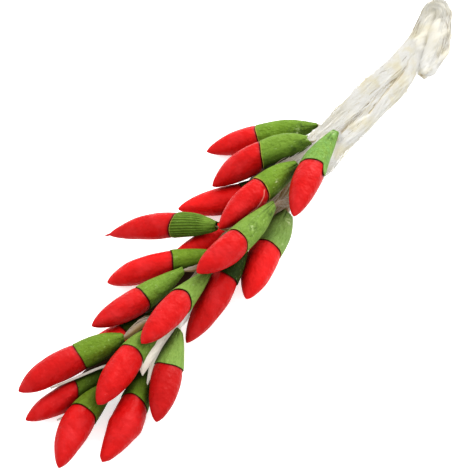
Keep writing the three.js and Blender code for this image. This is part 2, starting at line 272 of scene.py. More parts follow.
def chance(name, salt):
    """The frame's own repeatable number from 0 to 1 for a chilli."""
    return abs(math.sin(ord(name) * 12.9898 + salt * 78.233) * 43758.5453) % 1


def lumps(points, size, seed, waves=12):
    """Smooth unevenness of about -1 to 1: waves in random directions, about size apart."""
    draw = np.random.default_rng(seed)
    total = np.zeros(points.shape[:-1])
    for _ in range(waves):
        direction = draw.normal(size=3)
        direction *= 2 * math.pi / (np.linalg.norm(direction) * size * draw.uniform(0.75, 1.5))
        total += np.sin(points @ direction + draw.uniform(0, 2 * math.pi))
    return total / math.sqrt(waves)


def apart_from(around, degrees):
    """Angles measured from one given in degrees, from -pi to pi."""
    return np.angle(np.exp(1j * (around - math.radians(degrees))))


def tube_faces(count, sides, start=0):
    """The four-sided faces between count rings, whose first vertex has the number start."""
    first = np.arange(sides)
    after = (first + 1) % sides
    low = start + sides * np.arange(count - 1)[:, None]
    high = low + sides
    return np.stack([low + first, low + after, high + after, high + first], -1).reshape(-1, 4)


def add_attribute(mesh, key, values):
    """Stores a row of one or three numbers for each vertex."""
    kind, field = ("FLOAT_VECTOR", "vector") if values.shape[1] == 3 else ("FLOAT", "value")
    layer = mesh.attributes.new(key, kind, "POINT")
    layer.data.foreach_set(field, values.astype(np.float32).ravel())


def ring_mesh(name, rings, attributes):
    """A closed mesh from rings (count, sides, 3) in mm, its first and last ring drawn to a point."""
    count, sides = rings.shape[:2]
    poles = np.stack([rings[0].mean(0), rings[-1].mean(0)])
    vertices = np.concatenate([rings.reshape(-1, 3), poles])
    bottom, top, last = count * sides, count * sides + 1, (count - 1) * sides
    pairs = [(a, (a + 1) % sides) for a in range(sides)]
    ends = [(bottom, b, a) for a, b in pairs] + [(top, last + a, last + b) for a, b in pairs]
    mesh = bpy.data.meshes.new(name)
    mesh.from_pydata((vertices * MM).tolist(), [], tube_faces(count, sides).tolist() + ends)
    for key, values in attributes.items():
        values = np.asarray(values, float)
        if values.ndim < 3:
            values = np.broadcast_to(values, (count, sides))[..., None]
        values = values.reshape(-1, values.shape[-1])
        add_attribute(mesh, key, np.concatenate([values, values[:1], values[-1:]]))
    mesh.validate()
    mesh.shade_smooth()
    return mesh


# ---------------------------------------------------------------- chillies
def chilli_axes(chilli):
    """Rows: to the right of the tip's heading, towards the tip, and up."""
    heading, dip = math.radians(chilli["heading"]), math.radians(chilli["dip"])
    right = np.array([math.sin(heading), -math.cos(heading), 0])
    level = math.cos(dip)
    along = np.array([math.cos(heading) * level, math.sin(heading) * level, -math.sin(dip)])
    return np.stack([right, along, np.cross(right, along)])


def bend_shift(chilli, y):
    """How far a chilli's middle lies to its right at y: one bend for all of it, and a lean of the cap."""
    curve = math.tan(math.radians(chilli["bend"])) / (chilli["cap"] + chilli["body"])
    return chilli.get("lean", 0) * (np.minimum(y, 0) / chilli["cap"]) ** 2 - curve * y * y


def to_bunch(chilli, local):
    """Points of a chilli, bent and placed in the frame, in mm."""
    bent = local.copy()
    bent[..., 0] += bend_shift(chilli, local[..., 1])
    return bent @ chilli_axes(chilli) + np.array(chilli["seam"]) + LAYOUT_ORIGIN


def body_taper(t, tip):
    """Share of the full width at a share t of the way from the seam to the tip."""
    near_seam = np.where(t < 0.3, 1 - 0.1 * (1 - t / 0.3) ** 2, 1)
    return near_seam * np.clip(1 - np.clip(t, 0, 1) ** tip, 0, 1) ** 0.75 / 0.965


def body_profile(chilli, t):
    """Share of the full width, with the flat sides between corners that one body has."""
    round_ = body_taper(t, chilli["tip"])
    corner = chilli.get("corner")
    if corner is None:
        return round_
    return 0.4 * round_ + 0.6 * np.interp(t, [0, corner, 0.92, 1], [0.88, 1.16, 0.36, 0])


def scar_line(chilli, around, y, radius):
    """A crease pressed into a body: 1 along the given line of places and angles, 0 away from it."""
    scar = np.zeros_like(around)
    line = chilli.get("scar", [])
    for (y0, a0), (y1, a1) in zip(line, line[1:]):
        for share in np.linspace(0, 1, 8):
            marks = [(y0 + share * (y1 - y0), a0 + share * (a1 - a0), 0.1)]
            scar = np.maximum(scar, spots(marks, radius, around, y))
    return scar


def spots(marks, radius, around, y):
    """Soft-edged spots on the clay, each given by its place along the chilli, its angle and its size."""
    total = np.zeros_like(around)
    for place, angle, size in marks:
        across = apart_from(around, angle) * radius
        total = np.maximum(total, np.exp(-(across ** 2 + (y - place) ** 2) / size ** 2))
    return total


def rim_line(name, chilli, around):
    """How far the rim's edge lies towards the tip, round the chilli: its slant and its waves."""
    slant_x, slant_z = chilli.get("tilt", (0, 0))
    seed = seed_of("cap" + name)
    wave = 0.05 * np.cos(around + seed) + 0.04 * np.cos(2 * around + 1.7 * seed)
    wave += 0.02 * np.cos(5 * around + 0.3 * seed)
    return slant_x * np.cos(around) + slant_z * np.sin(around) + wave


def flap_reach(chilli, around):
    """How much of each torn flap of the rim there is round the chilli, with its reach and flare."""
    for where, spread, reach, flare in chilli.get("flaps", []):
        yield np.exp(-(apart_from(around, where) / math.radians(spread)) ** 4), reach, flare


def swell(name, around, y, unevenness):
    phase = chance(name, 1) * 2 * math.pi
    return 1 + unevenness * (np.cos(2 * around + phase) + 0.5 * np.cos(3 * around + y))


def polar(radius, around, y):
    return np.stack([radius * np.cos(around), y, radius * np.sin(around)], -1)


def clay_place(local, seed):
    """Where the pattern of the clay is taken from: a part of it for each piece."""
    return local + np.array([seed % 97, seed % 89, seed % 83])


def uneven_clay(name, seed, rs, ys, sides, wide, fine, fade):
    """Angles, y and radii of rings of hand-rolled clay, and their points before it was dented. The wide
    dents have a size and a depth, the fine ones also how drawn out they are. Both fade in thin places."""
    sizes = settings().chilli_sizes
    A, Y = np.meshgrid(np.arange(sides) * 2 * math.pi / sides, ys)
    R = rs[:, None] * swell(name, A, Y, sizes.unevenness)
    skin = polar(R, A, Y)
    soft = lumps(skin, wide[0], seed) * wide[1]
    soft += lumps(skin * [1, fine[2], 1], fine[0], seed + 1) * fine[1]
    return A, Y, R + soft * sizes.dents / MM * smoothstep(rs[:, None], *fade), skin


def body_mesh(name, chilli):
    """The red body: a shoulder inside the cap, then the spindle down to its tip."""
    sizes = settings().chilli_sizes
    radius = chilli["width"] / 2
    seed = seed_of("body" + name)
    edge = radius * float(body_profile(chilli, np.array(0.0)))
    # the shoulder: share of the radius at the seam, and y
    inside = [(0.3, -0.35), (0.62, -0.33), (0.82, -0.27), (0.9, -0.16), (0.93, -0.06)]
    steps = np.linspace(0, 1, 56)
    t = np.concatenate([[0.004, 0.012], 0.02 + 0.98 * (1 - (1 - steps) ** 1.35)])
    t = np.clip(t, 0, 0.9995)  # the rings crowd towards the tip and stop just short of it
    ys = np.concatenate([[y for _, y in inside], t * chilli["body"]])
    lip = 1 - 0.07 * np.exp(-t * chilli["body"] / 0.12)
    rs = np.concatenate([[edge * share for share, _ in inside], radius * body_profile(chilli, t) * lip])
    if "nib" in chilli:  # the rings behind it stay thick enough to carry it
        rs[20:] = np.maximum(rs[20:], 0.13)
        ys = np.append(ys, chilli["body"] + chilli["nib"] * np.array([0.3, 0.7, 1]))
        rs = np.append(rs, [0.11, 0.08, 0.04])
    A, Y, R, _ = uneven_clay(name, seed, rs, ys, BODY_SIDES, (2.6, 0.6), (1.0, 0.35, 0.45), (0.1, 0.8))
    Y = Y + rim_line(name, chilli, A) * (1 - smoothstep(Y, 0.2, 2.4))
    scar = scar_line(chilli, A, Y, R)
    R = R - 0.05 * scar
    local = polar(R, A, Y)
    mouth = sum(reach * near for near, reach, _ in flap_reach(chilli, A))
    # painted shade at the seam: full in the gap under the cap's rim, with a weaker band below it; less
    # where the rim has little painted highlight
    seam = 1 - smoothstep(ys[:, None] - mouth, 0.1, sizes.seam_gap / MM + 0.1)
    seam += 0.3 * (1 - smoothstep(ys[:, None] - mouth, 0.2, 0.6))
    seam *= 0.7 if chilli.get("rim", 0) < 0.1 else 1
    return ring_mesh(f"chilli_{name}_body", to_bunch(chilli, local), {
        "place": clay_place(local, seed), "scar": scar, "seam": seam, "shade": chilli.get("shade", 1)})


def cap_mesh(name, chilli):
    """The green cap: from inside its neck over the outside to its rim, and back into its mouth."""
    sizes = settings().chilli_sizes
    seed = seed_of("cap" + name)
    draw = np.random.default_rng(seed)
    sides = 2 * CAP_SIDES if chilli.get("ridges") else CAP_SIDES
    neck = chilli.get("neck", sizes.neck_radius / MM)
    step = sizes.rim_step / MM
    rim = chilli["width"] / 2 * float(body_profile(chilli, np.array(0.0))) + step
    length = chilli["cap"]
    outside = np.linspace(0.985, 0.0, 46)
    dome = 1 - outside ** chilli["dome"]
    # radius, y and how much painted highlight the rim has there
    profile = [(0.12, 0.6 - length, 0), (neck * 0.68, 0.5 - length, 0), (neck * 0.72, 0.12 - length, 0),
               (neck * 0.8, 0.02 - length, 0.2), (neck * 0.92, -length, 0.3)]
    profile += [(neck + (rim - neck) * d, -u * length, 0.25 * (u == 0)) for u, d in zip(outside, dome)]
    profile += [(rim + 0.01, 0.04, 0.6), (rim - 0.02, 0.075, 1), (rim - 0.06, 0.07, 1),
                (rim - 0.09, 0.03, 0.6), (rim - 0.12, -0.1, 0), (rim - 0.14, -0.35, 0),
                (rim * 0.5, -0.6, 0), (rim * 0.1, -0.66, 0)]
    rs, ys, rim_highlights = (np.array(column) for column in zip(*profile))
    rim_highlights = rim_highlights * chilli.get("rim", 0.12)
    A, Y, R, skin = uneven_clay(name, seed, rs, ys, sides, (2.2, 0.5), (0.9, 0.4, 0.4), (0.2, 0.6))
    U = np.clip(-Y / length, 0, 1)
    outer = np.zeros((len(rs), 1))
    outer[3:5 + len(outside) + 3] = 1
    crease = np.zeros_like(R)
    for _ in range(16):  # folds from pinching, deeper towards the string
        middle = draw.uniform(0, 2 * math.pi) + draw.uniform(-0.6, 0.6) * U
        width = draw.uniform(0.05, 0.14)
        apart = np.angle(np.exp(1j * (A - middle)))
        deep = draw.uniform(0.2, 1.2) * smoothstep(U, draw.uniform(0.2, 0.75), 1.0)
        crease += deep * np.exp(-(apart / width) ** 2)
    if chilli.get("ridges"):
        waves = 0.5 - 0.5 * np.cos(chilli["ridges"] * A + 0.5 * np.sin(3 * A + 2 * U))
        crease += 1.5 * waves ** 0.7 * (1 - smoothstep(U, 0.55, 0.85))
    R = R - outer * crease * sizes.crease_depth / MM * smoothstep(rs[:, None], 0.2, 0.5)
    pinch = 0.05 * np.cos(3 * A + seed) + 0.03 * np.cos(5 * A + 2 * seed)
    R = R * (1 + pinch * smoothstep(U, 0.75, 1.0))
    within = (np.arange(len(rs)) > len(outside) + 5)[:, None]
    Y = Y + rim_line(name, chilli, A) * np.where(within, 1, 1 - smoothstep(U, 0.0, 0.3))
    Y = Y + 0.1 * lumps(skin, 0.8, seed + 2) * smoothstep(U, 0.9, 1.0)
    for near, reach, flare in flap_reach(chilli, A):
        free = near * (1 - smoothstep(U, 0.0, 0.3))
        Y = Y + reach * free
        R = R + flare * free
    local = polar(R, A, Y)
    # pale is partly painted light, deep is painted shade
    olive, pale, deep = chilli.get("mix", (0.3, 0.1, 0))
    return ring_mesh(f"chilli_{name}_cap", to_bunch(chilli, local), {
        "place": clay_place(local, seed), "crease": crease, "rim": rim_highlights[:, None],
        "olive": olive, "pale": pale, "deep": deep, "bluish": chilli.get("bluish", 0),
        "flaking": spots(chilli.get("flaking", []), R, A, Y),
        "soiled": spots(chilli.get("soiled", []), R, A, Y)})


# ---------------------------------------------------------------- strings
def even_path(points, step):
    """Points of a smooth curve through the given ones, step apart (centripetal Catmull-Rom)."""
    P = np.asarray(points, float)
    P = np.concatenate([[2 * P[0] - P[1]], P, [2 * P[-1] - P[-2]]])
    knots = np.concatenate([[0], np.cumsum(np.sqrt(np.linalg.norm(np.diff(P, axis=0), axis=1)))])
    dense = []
    for i in range(1, len(P) - 2):
        t0, t1, t2, t3 = knots[i - 1:i + 3]
        t = np.linspace(t1, t2, 24, endpoint=False)[:, None]

        def between(a, b, start, end):
            return (end - t) / (end - start) * a + (t - start) / (end - start) * b

        a1, a2, a3 = (between(P[i + k - 1], P[i + k], *knots[i + k - 1:i + k + 1]) for k in range(3))
        dense.append(between(between(a1, a2, t0, t2), between(a2, a3, t1, t3), t1, t2))
    dense = np.concatenate(dense + [P[-2:-1]])
    return resample(dense, step)


def lengths_along(path):
    return np.concatenate([[0], np.cumsum(np.linalg.norm(np.diff(path, axis=0), axis=1))])


def resample(path, step):
    along = lengths_along(path)
    want = np.linspace(0, along[-1], max(4, int(round(along[-1] / step)) + 1))
    return np.stack([np.interp(want, along, path[:, i]) for i in range(path.shape[1])], 1)


def carried_frames(path):
    """Two directions across a path, which turn as little as they can along it."""
    tangents = np.gradient(path, axis=0)
    tangents /= np.linalg.norm(tangents, axis=1)[:, None]
    side = np.cross(tangents[0], [0.0, 0.0, 1.0])
    side /= np.linalg.norm(side)
    sides = [side]
    for t in tangents[1:]:
        side = side - t * (side @ t)
        side = side / np.linalg.norm(side)
        sides.append(side)
    sides = np.array(sides)
    return sides, np.cross(tangents, sides)


def string_mesh(name, path, radii, seed, axis=None, sides=14, dust=0.0, hidden=(-0.4, 0.45)):
    """A soft cotton string along a path in mm, its section lobed by the fibres that run along it.

    axis gives the bundle's middle beside each point; what faces it lies in the grooves, in painted shade,
    and hidden is the span over which it does. dust is the least painted shade that it carries, whatever
    its place; below 0 it is made lighter."""
    sizes = settings().string_sizes
    draw = np.random.default_rng(seed)
    across, up = carried_frames(path)
    along = lengths_along(path)
    around = np.arange(sides) * 2 * math.pi / sides
    A, S = np.meshgrid(around, along)
    turn = 2 * math.pi * S / (sizes.twist_pitch / MM) + draw.uniform(0, 6)
    lobes = 0.05 * np.cos(3 * (A - turn)) + 0.035 * np.cos(7 * (A - turn) + np.sin(S))
    uneven = lumps(polar(np.ones_like(A), A - turn, S * 0.3) + seed, 1.1, seed) * 0.05
    R = np.asarray(radii)[:, None] * (1 + lobes + uneven)
    outward = np.cos(A)[..., None] * across[:, None] + np.sin(A)[..., None] * up[:, None]
    rings = path[:, None] + R[..., None] * outward
    rings[..., 2] = np.maximum(rings[..., 2], FLOOR_CLEARANCE)
    # painted shade: groove is how far a point faces the bundle's middle, down in the grooves
    groove = np.zeros_like(A)
    if axis is not None:
        away = path - axis
        away /= np.maximum(np.linalg.norm(away, axis=1), 0.05)[:, None]
        facing = (outward * away[:, None]).sum(-1)
        groove = 1 - smoothstep(facing, *hidden)
        groove *= (1 - smoothstep(path[:, 0], KNOT_FROM, KNOT_FULL))[:, None]
    return ring_mesh(name, rings + LAYOUT_ORIGIN, {
        "fibre": polar(np.full_like(A, np.mean(radii)), A - turn, S) + seed % 53,
        "dust": painted_shading_on(path, dust)[:, None], "groove": groove, "handled": handled_at(path)[:, None]})


def painted_shading_on(path, least):
    """Painted shading along a piece of cotton: painted shade, most in the thick of the caps; painted
    light, less than none, at the low end; and no less than the piece's own. An own value below 0 makes it
    lighter."""
    x = path[:, 0]
    dust = smoothstep(x, -10, -5) * (1 - smoothstep(x, 7, 15)) - (1 - smoothstep(x, -13, -11))
    return np.maximum(dust, least) if least > 0 else dust + least


def handled_at(path):
    """How far handling has yellowed the cotton along a path: most at the knot."""
    x, y = path[:, 0], path[:, 1]
    patch = np.exp(-((x - 17.5) / 2.5) ** 2) * smoothstep(y, -0.6, 0.4)
    return 0.6 * smoothstep(x, 30, 33) + 0.7 * patch


def centre_line():
    """The bundle's middle line with the knot, and its radius at each point, in layout mm."""
    return even_path(BUNDLE_ROUTE + KNOT_ROUTE, CENTRE_STEP)


def bundle_share(points):
    """The bundle's radius at points of its middle line, as a share of its full radius."""
    return points[..., 3] / (settings().string_sizes.bundle_radius / MM)


def slot_places():
    """Places of twenty strings in the section of the bundle: middle and radius of the group, and where
    in the group. A large and a small group lie side by side with one groove between them."""
    inner, outer = [], []
    for middle, radius, ring, core in BUNDLE_GROUPS:
        outer += [(middle, radius, 360 * k / ring + 12) for k in range(ring)]
        inner += [(middle, radius * 0.35, 360 * k / core + 40) for k in range(core)]
    return inner, outer


def slot_at(slot, i, centre):
    """Across and above, in mm from the bundle's middle, of a slot at a step along the centre line."""
    middle, radius, angle = slot
    share = bundle_share(centre[i])
    swirl = np.radians(angle + np.asarray(i) * CENTRE_STEP * GROUP_TURNS[middle < 0])
    return (middle + radius * np.cos(swirl)) * share, radius * np.sin(swirl) * share


def beside_middle(centre, frames, across, above=0):
    """Points so far to the large group's side of the middle line, and so far above it."""
    side, up = frames
    wide, deep = BUNDLE_ROLL
    points = centre[:, :3] + across[:, None] * (-wide * side - deep * up)
    return points + np.reshape(above, (-1, 1)) * (deep * side - wide * up)


def neck_point(chilli, past):
    """The point a little past the narrow end of a cap."""
    y = -chilli["cap"] - past
    local = np.array([bend_shift(chilli, y), y, 0.0])
    return local @ chilli_axes(chilli) + np.array(chilli["seam"])


def way_in(chilli):
    """The last point before a string joins the bundle: past the neck and a little under it."""
    return np.array(chilli["via"][-1]) if "via" in chilli else neck_point(chilli, 0.3) - [0, 0, 0.3]


def joining_step(chilli, centre):
    """The step along the centre line where a string is in its place in the bundle."""
    point = way_in(chilli)
    xs = centre[:JOINING_POINTS, 0]
    i = int(np.searchsorted(xs, point[0]))
    drop = max(0, point[2] - centre[i, 2] - centre[i, 3])
    return int(np.searchsorted(xs, point[0] + (1.9 if "via" in chilli else 1.2 + 1.3 * drop)))


def string_path(name, chilli, slot, centre, frames, cut):
    """Where one string lies: out of its cap, past its own points, into its place in the bundle."""
    points = [neck_point(chilli, -0.55), neck_point(chilli, 0)]
    points += [np.array(p) for p in chilli["via"]] if "via" in chilli else [way_in(chilli)]
    start = joining_step(chilli, centre)
    lines = beside_middle(centre, frames, *slot_at(slot, np.arange(len(centre)), centre))
    draw = np.random.default_rng(seed_of("string" + name))
    along = np.arange(len(centre)) * CENTRE_STEP
    lines += 0.05 * np.sin(along[:, None] / draw.uniform(0.9, 2.2, 3) + draw.uniform(0, 6, 3))
    stop = len(centre) - cut
    points += list(lines[start:stop - 3:5]) + [lines[stop - 1]]
    path = even_path(points, STRING_STEP)
    for _ in range(5):
        path[1:-1] = path[1:-1] * 0.5 + 0.25 * (path[:-2] + path[2:])
    return path


def group_core(middle, radius, centre, frames):
    """Path and radii of the loose cotton that fills one group of strings."""
    share = bundle_share(centre)
    line = beside_middle(centre, frames, middle * share)[:-3]
    radii = (radius + 0.31) * share[:-3]
    radii[:3] *= (0.3, 0.6, 0.85)
    radii[-3:] *= (0.85, 0.6, 0.3)
    return line, radii


def string_jobs():
    """Name, path, radii and the bundle's middle beside the path, for each string."""
    centre = centre_line()
    frames = carried_frames(centre[:, :3])
    names = sorted(CHILLIES, key=lambda n: way_in(CHILLIES[n])[0])
    inner, outer = slot_places()
    slots = dict(zip(names, inner))
    wide, deep = BUNDLE_ROLL
    for name in names[len(inner):]:
        chilli = CHILLIES[name]
        point, i = way_in(chilli), joining_step(chilli, centre)
        _, y, z = point - centre[i, :3]

        def miss(slot):
            across, above = slot_at(slot, i, centre)
            return np.hypot(across - (wide * y + deep * z), above - (wide * z - deep * y))

        slots[name] = min(outer, key=miss)
        outer.remove(slots[name])
    sizes = settings().string_sizes
    for i, (name, chilli) in enumerate(sorted(CHILLIES.items())):
        path = string_path(name, chilli, slots[name], centre, frames, 1 + (i * 7) % 4)
        nearest = np.linalg.norm(path[:, None] - centre[None, :, :3], axis=2).argmin(1)
        beside = centre[np.maximum.accumulate(nearest)]
        past = np.arange(len(path)) * STRING_STEP
        guided = "via" in chilli
        lead = chilli.get("lead", 0.72 if guided else 0.4)
        thin = sizes.diameter / 2 / MM * chilli.get("thick", 1)
        radii = thin * (1 + (sizes.slack - 1) * smoothstep(past, 3, 8))
        radii *= lead + (1 - lead) * smoothstep(past, 0.6, 2 if guided else 3.5)
        radii *= np.clip(bundle_share(beside), 0.72, 1.1)
        radii[:5] *= (0.7, 0.7, 0.7, 0.8, 0.9)
        radii[-1] *= 0.6
        yield name, path, radii, beside[:, :3]


def fibres_mesh(name, jobs, count):
    """Single cotton fibres that lie loose on the outside of the bundle, as one mesh of thin tubes."""
    draw = np.random.default_rng(seed_of(name))
    sides = 3
    around = np.arange(sides) * 2 * math.pi / sides
    vertices, faces, fibre, dust, handled, total = [], [], [], [], [], 0
    for _ in range(count):
        path, radii, axis, dusty = jobs[draw.integers(len(jobs))]
        steps = int(draw.integers(8, 30))
        if len(path) < steps + 12:
            continue
        first = int(draw.integers(4, len(path) - steps - 2))
        piece, radius, middle = (v[first:first + steps:3] for v in (path, radii, axis))
        across, up = carried_frames(piece)
        away = piece - middle
        facing = math.atan2(float((away[0] * up[0]).sum()), float((away[0] * across[0]).sum()))
        s = np.linspace(0, 1, len(piece))
        angle = facing + draw.uniform(-1.6, 1.6) + draw.uniform(-1.3, 1.3) * s
        # some on the free stretch of the bundle stand further off
        loose = 3.0 if draw.uniform() < 0.15 and 4 < piece[0, 0] < 28 else 1.0
        arch = draw.exponential(0.08) * np.sin(math.pi * s)
        lift = 0.06 + loose * (arch + max(0, draw.normal(0, 0.16)) * s ** 3)
        outward = np.cos(angle)[:, None] * across + np.sin(angle)[:, None] * up
        line = piece + (radius + lift)[:, None] * outward
        line[:, 2] = np.maximum(line[:, 2], 3 * FLOOR_CLEARANCE)
        thick = draw.uniform(0.015, 0.045) * np.sin(math.pi * np.clip(s, 0.06, 0.94)) ** 0.4
        ring = np.cos(around)[:, None] * across[:, None] + np.sin(around)[:, None] * up[:, None]
        vertices.append((line[:, None] + thick[:, None, None] * ring).reshape(-1, 3))
        fibre.append(np.repeat(line + draw.uniform(0, 50), sides, 0))
        # painted shading on each fibre, a share of its string's
        dust.append(np.repeat(painted_shading_on(line, dusty) * draw.uniform(0.6, 1.1), sides))
        handled.append(np.repeat(handled_at(line) * draw.uniform(0.2, 1), sides))
        faces.append(tube_faces(len(piece), sides, total))
        total += len(piece) * sides
    vertices = (np.concatenate(vertices) + LAYOUT_ORIGIN) * MM
    mesh = bpy.data.meshes.new(name)
    mesh.from_pydata(vertices.tolist(), [], np.concatenate(faces).tolist())
    add_attribute(mesh, "fibre", np.concatenate(fibre))
    for key, values in (("dust", dust), ("handled", handled)):
        add_attribute(mesh, key, np.concatenate(values)[:, None])
    mesh.shade_smooth()
    return mesh


# ---------------------------------------------------------------- materials
def node(tree, kind, settings_=None, inputs=None, links=None):
    """Adds a shader node with its settings, input values and links to its inputs."""
    made = tree.nodes.new(kind)
    for key, value in (settings_ or {}).items():
        setattr(made, key, value)
    for key, value in (inputs or {}).items():
        made.inputs[key].default_value = value
    for key, source in (links or {}).items():
        tree.links.new(source, made.inputs[key])
    return made


def opaque(colour):
    return (*colour[:3], 1.0)


def nearby(tree, reach):
    """How open the surface is, from 0 where others close in on it to 1 where nothing is near."""
    open_ = node(tree, "ShaderNodeAmbientOcclusion", {"samples": 8}, {"Distance": reach * MM})
    return open_.outputs["AO"]


def noise(tree, vector, scale, detail, roughness=0.6, stretch=None):
    """Noise in a piece's own mm, stretched along it where stretch is given."""
    if stretch:
        mapping = node(tree, "ShaderNodeMapping", None, {"Scale": stretch}, {"Vector": vector})
        vector = mapping.outputs["Vector"]
    values = {"Scale": scale, "Detail": detail, "Roughness": roughness}
    return node(tree, "ShaderNodeTexNoise", None, values, {"Vector": vector}).outputs["Fac"]


def remap(tree, value, low, high, to_low, to_high):
    """A value carried from one span to another and kept inside it."""
    span = {"From Min": low, "From Max": high, "To Min": to_low, "To Max": to_high}
    return node(tree, "ShaderNodeMapRange", None, span, {"Value": value}).outputs["Result"]


def blend(tree, factor, a, b, fixed=0.0):
    """Colour a going over to colour b; each is a colour or the output of a node."""
    inputs, links = ({}, {"Factor": factor}) if factor else ({"Factor": fixed}, {})
    for key, colour in (("A", a), ("B", b)):
        if hasattr(colour, "links"):
            links[key] = colour
        else:
            inputs[key] = opaque(colour)
    return node(tree, "ShaderNodeMix", {"data_type": "RGBA"}, inputs, links).outputs["Result"]


def both(tree, a, b):
    """Two values multiplied."""
    return node(tree, "ShaderNodeMath", {"operation": "MULTIPLY"}, None, {0: a, 1: b}).outputs["Value"]


def tinted(colour, *shares):
    return [min(1, c * share) for c, share in zip(colour, shares)]


def attribute(tree, name, output="Fac"):
    return node(tree, "ShaderNodeAttribute", {"attribute_name": name}).outputs[output]


class Coats:
    """The colour of a material, laid on in coats. A colour is a hex code or shares of the base's."""

    def __init__(self, tree, base, place):
        self.tree, self.base = tree, base
        self.place = attribute(tree, place, "Vector")

    def tone(self, colour):
        return srgb(colour) if isinstance(colour, str) else tinted(self.base, *colour)

    def noise(self, *pattern):
        return noise(self.tree, self.place, *pattern)

    def mark(self, name):
        return attribute(self.tree, name)

    def ground(self, value, low, high):
        self.colour = blend(self.tree, value, self.tone(low), self.tone(high))

    def add(self, colour, value, *span):
        """Lays a colour on by a value, or by its span: where it starts, where it is full and how full."""
        if span:
            low, high, most = (*span, 1.0)[:3]
            value = remap(self.tree, value, low, high, 0.0, most)
        self.colour = blend(self.tree, value, self.colour, self.tone(colour))


def bumped(tree, *bumps):
    """The normal of a surface with one bump on another, each a height and its depth in mm."""
    links = {}
    for height, depth in bumps:
        made = node(tree, "ShaderNodeBump", None, {"Strength": 1.0, "Distance": depth * MM},
                    {"Height": height, **links})
        links = {"Normal": made.outputs["Normal"]}
    return links["Normal"]


def surface(tree, values, links):
    """The shader of a material, with its values and what is linked to them."""
    shader = node(tree, "ShaderNodeBsdfPrincipled", None, values, links)
    node(tree, "ShaderNodeOutputMaterial", None, None, {"Surface": shader.outputs["BSDF"]})


def red_clay(tree):
    """Air-dry modelling clay, coloured through and rolled by hand: satin, with soft mottling."""
    coats = Coats(tree, settings().bunch_colours.red, "place")
    coats.ground(coats.noise(0.9, 5.0, 0.7), (0.78, 0.45, 0.45), (1.2, 1.8, 1.9))
    # blushes of paler pink, a millimetre or two wide, partly the clay's own and partly painted highlight,
    # and a few dry grains of 0.15 mm
    coats.add((1.25, 7.0, 8.5), coats.noise(0.55, 2.0), 0.45, 0.7, 0.32)
    coats.add("f08078", coats.noise(5.0, 2.0), 0.7, 0.8, 0.35)
    # painted light and shade: each body is painted a little lighter or darker by its own amount
    coats.add((1.9, 2.6, 2.6), coats.mark("shade"), 1.0, 1.7)
    coats.add((0.6, 0.6, 0.6), coats.mark("shade"), 1.0, 0.7)
    # painted shade: the clay is darkened to deep red where chillies close in on each other
    coats.add((0.4, 0.2, 0.2), nearby(tree, 1.2), 0.8, 0.1, 0.65)
    # painted highlight: pale along the crease pressed into a body
    coats.add("f2b4a6", coats.mark("scar"), 0.2, 1.0, 0.6)
    # painted shade: the shoulder inside the cap's mouth is painted dark, fading out just below the rim
    coats.add((0.06, 0.3, 0.4), coats.mark("seam"), 0.0, 1.0, 0.95)
    # skin creased by rolling, 0.35 mm across and 0.5 mm along, over wider flats left by the fingers
    skin = coats.noise(2.8, 3.0, 0.6, (1.0, 0.7, 1.0))
    surface(tree, {"IOR": 1.5, "Specular IOR Level": 0.12}, {
        "Base Color": coats.colour, "Roughness": remap(tree, skin, 0.3, 0.7, 0.36, 0.52),
        "Normal": bumped(tree, (coats.noise(1.0, 2.0), 0.2), (skin, 0.06))})


def green_clay(tree):
    """Air-dry modelling clay, pinched over the string by finger: matte, with painted highlight along its
    rim and painted shade in its creases.
    """
    coats = Coats(tree, settings().bunch_colours.green, "place")
    coats.ground(coats.noise(1.0, 5.0, 0.7), (0.6, 0.66, 0.42), (1.38, 1.3, 1.8))
    # each cap was pinched from its own mix of clay: olive, plain or bluish; its pale green is partly the
    # clay's own and partly painted light
    coats.add((1.1, 0.85, 0.6), coats.mark("olive"))
    coats.add("a6bf84", coats.mark("pale"))
    mottling = remap(tree, coats.noise(1.6, 4.0, 0.7), 0.35, 0.65, 0.2, 1.8)
    coats.add("6f9c58", both(tree, coats.mark("bluish"), mottling))
    # painted shade: deep darkens the caps that lie in the shade of others
    coats.add((0.1, 0.12, 0.1), coats.mark("deep"))
    # painted shade: darker lines standing for small folds of the pinched clay, 0.2 mm across and 0.7 mm
    # along, and darker down in the modelled creases
    coats.add((0.45, 0.5, 0.4), coats.noise(1.0, 3.0, 0.65, (4.6, 1.4, 4.6)), 0.5, 0.7, 0.45)
    coats.add((0.3, 0.3, 0.25), coats.mark("crease"), 0.0, 1.5, 0.75)
    # streaks and flakes of dry clay, paler than the rest
    coats.add("b2c98a", coats.noise(1.0, 4.0, 0.7, (3.4, 2.0, 3.4)), 0.6, 0.74, 0.4)
    flecks = remap(tree, coats.noise(4.0, 2.0), 0.45, 0.65, 0.0, 0.8)
    coats.add("c6d6a2", both(tree, coats.mark("flaking"), flecks))
    # deep green where it was handled with wet fingers
    smears = remap(tree, coats.noise(1.0, 3.0, 0.7, (3.2, 1.6, 3.2)), 0.42, 0.6, 0.1, 0.9)
    coats.add("39501c", both(tree, coats.mark("soiled"), smears))
    # painted shade: the clay is darkened to deep green where chillies close in on each other
    coats.add((0.1, 0.12, 0.03), nearby(tree, 2.3), 0.8, 0.15, 0.95)
    # painted highlight: a straw colour along the thin rim, in patches
    patches = remap(tree, coats.noise(1.3, 2.0), 0.35, 0.6, 0.3, 1.0)
    coats.add("d2be5a", both(tree, remap(tree, coats.mark("rim"), 0.2, 1.0, 0.0, 1.0), patches))
    wrinkles = coats.noise(1.0, 4.0, 0.65, (3.6, 1.6, 3.6))
    surface(tree, {"IOR": 1.5, "Specular IOR Level": 0.12, "Roughness": 0.6}, {
        "Base Color": coats.colour,
        "Normal": bumped(tree, (coats.noise(1.0, 2.0), 0.25), (wrinkles, 0.16))})


